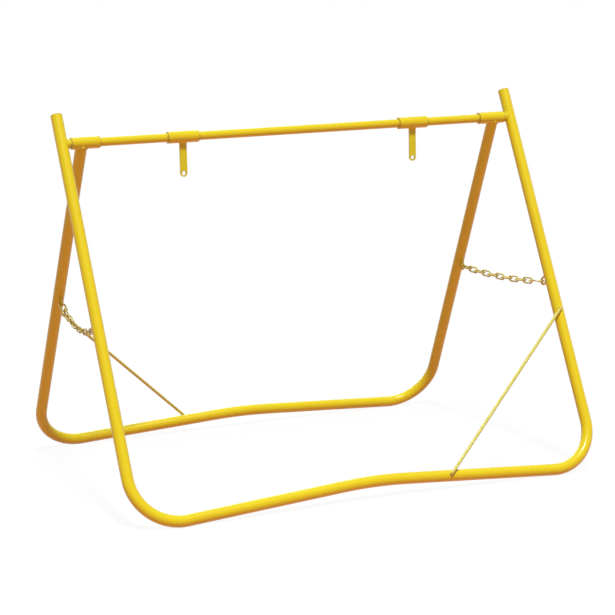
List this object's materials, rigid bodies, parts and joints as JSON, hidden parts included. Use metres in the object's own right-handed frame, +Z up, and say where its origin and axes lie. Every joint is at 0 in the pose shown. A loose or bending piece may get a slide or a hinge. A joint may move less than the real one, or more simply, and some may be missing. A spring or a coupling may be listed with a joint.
{
  "type": "folding swing frame",
  "caption": "Folding A-frame stand of bent round tube with a crossbar, loose hanger straps for a swinging panel, stay chains at the sides and diagonal stop rods.",
  "frame": {"origin": "on the floor straight below the middle of the crossbar, with the stand open on its chains", "axes": "+X along the crossbar to the right as seen from the front frame, -Y towards the front frame's feet, +Z up"},
  "size_m": [1.1056, 0.8138, 0.8182],
  "materials": {
    "frame_paint": "glossy yellow paint",
    "chain_paint": "yellow paint, thin and worn"
  },
  "bodies": {
    "front": {"front_frame": "frame_paint", "crossbar": "frame_paint", "front_eye_left": "frame_paint", "front_eye_right": "frame_paint", "stop_rod_front": "frame_paint"},
    "rear": {"rear_frame": "frame_paint", "hinge_sleeve_left": "frame_paint", "hinge_sleeve_right": "frame_paint", "rear_eye_left": "frame_paint", "rear_eye_right": "frame_paint", "stop_rod_rear": "frame_paint"},
    "hanger_left": {"hanger_sleeve_left": "frame_paint", "hanger_strap_left": "frame_paint"},
    "hanger_right": {"hanger_sleeve_right": "frame_paint", "hanger_strap_right": "frame_paint"},
    "chain_left": {"chain_link_left_1": "chain_paint", "chain_link_left_2": "chain_paint", "chain_link_left_3": "chain_paint", "chain_link_left_4": "chain_paint", "chain_link_left_5": "chain_paint"},
    "chain_left_end": {"chain_link_left_6": "chain_paint", "chain_link_left_7": "chain_paint", "chain_link_left_8": "chain_paint", "chain_link_left_9": "chain_paint", "chain_link_left_10": "chain_paint", "chain_hook_left": "chain_paint"},
    "chain_right": {"chain_link_right_1": "chain_paint", "chain_link_right_2": "chain_paint", "chain_link_right_3": "chain_paint", "chain_link_right_4": "chain_paint", "chain_link_right_5": "chain_paint"},
    "chain_right_end": {"chain_link_right_6": "chain_paint", "chain_link_right_7": "chain_paint", "chain_link_right_8": "chain_paint", "chain_link_right_9": "chain_paint", "chain_link_right_10": "chain_paint", "chain_hook_right": "chain_paint"}
  },
  "joints": [
    {"name": "fold", "type": "hinge", "parent": "front", "child": "rear", "pos_m": [0, 0, 0.754], "axis": [-1, 0, 0], "range_deg": [0, 51]},
    {"name": "hanger_left_swing", "type": "hinge", "parent": "front", "child": "hanger_left", "pos_m": [-0.268, 0, 0.754], "axis": [1, 0, 0], "continuous": true},
    {"name": "hanger_right_swing", "type": "hinge", "parent": "front", "child": "hanger_right", "pos_m": [0.287, 0, 0.754], "axis": [1, 0, 0], "continuous": true},
    {"name": "chain_left_drop", "type": "hinge", "parent": "rear", "child": "chain_left", "pos_m": [-0.50459, 0.17328, 0.38188], "axis": [0.9916, -0.0759, 0.1045], "range_deg": [0, 97]},
    {"name": "chain_right_drop", "type": "hinge", "parent": "rear", "child": "chain_right", "pos_m": [0.50459, 0.17328, 0.38188], "axis": [0.9916, 0.0759, -0.1045], "range_deg": [0, 113]},
    {"name": "chain_left_bend", "type": "hinge", "parent": "chain_left", "child": "chain_left_end", "pos_m": [-0.51601, 0.02413, 0.35098], "axis": [0.9819, -0.0752, 0.1737], "range_deg": [0, 35]},
    {"name": "chain_right_bend", "type": "hinge", "parent": "chain_right", "child": "chain_right_end", "pos_m": [0.5163, 0.0203, 0.37878], "axis": [0.9819, 0.0752, -0.1737], "range_deg": [0, 4]}
  ],
  "couplings": [
    {"joint": "chain_left_drop", "follows": "fold", "ratio": 1.902},
    {"joint": "chain_right_drop", "follows": "fold", "ratio": 2.2157},
    {"joint": "chain_left_bend", "follows": "fold", "ratio": 0.68627},
    {"joint": "chain_right_bend", "follows": "fold", "ratio": 0.07843}
  ]
}
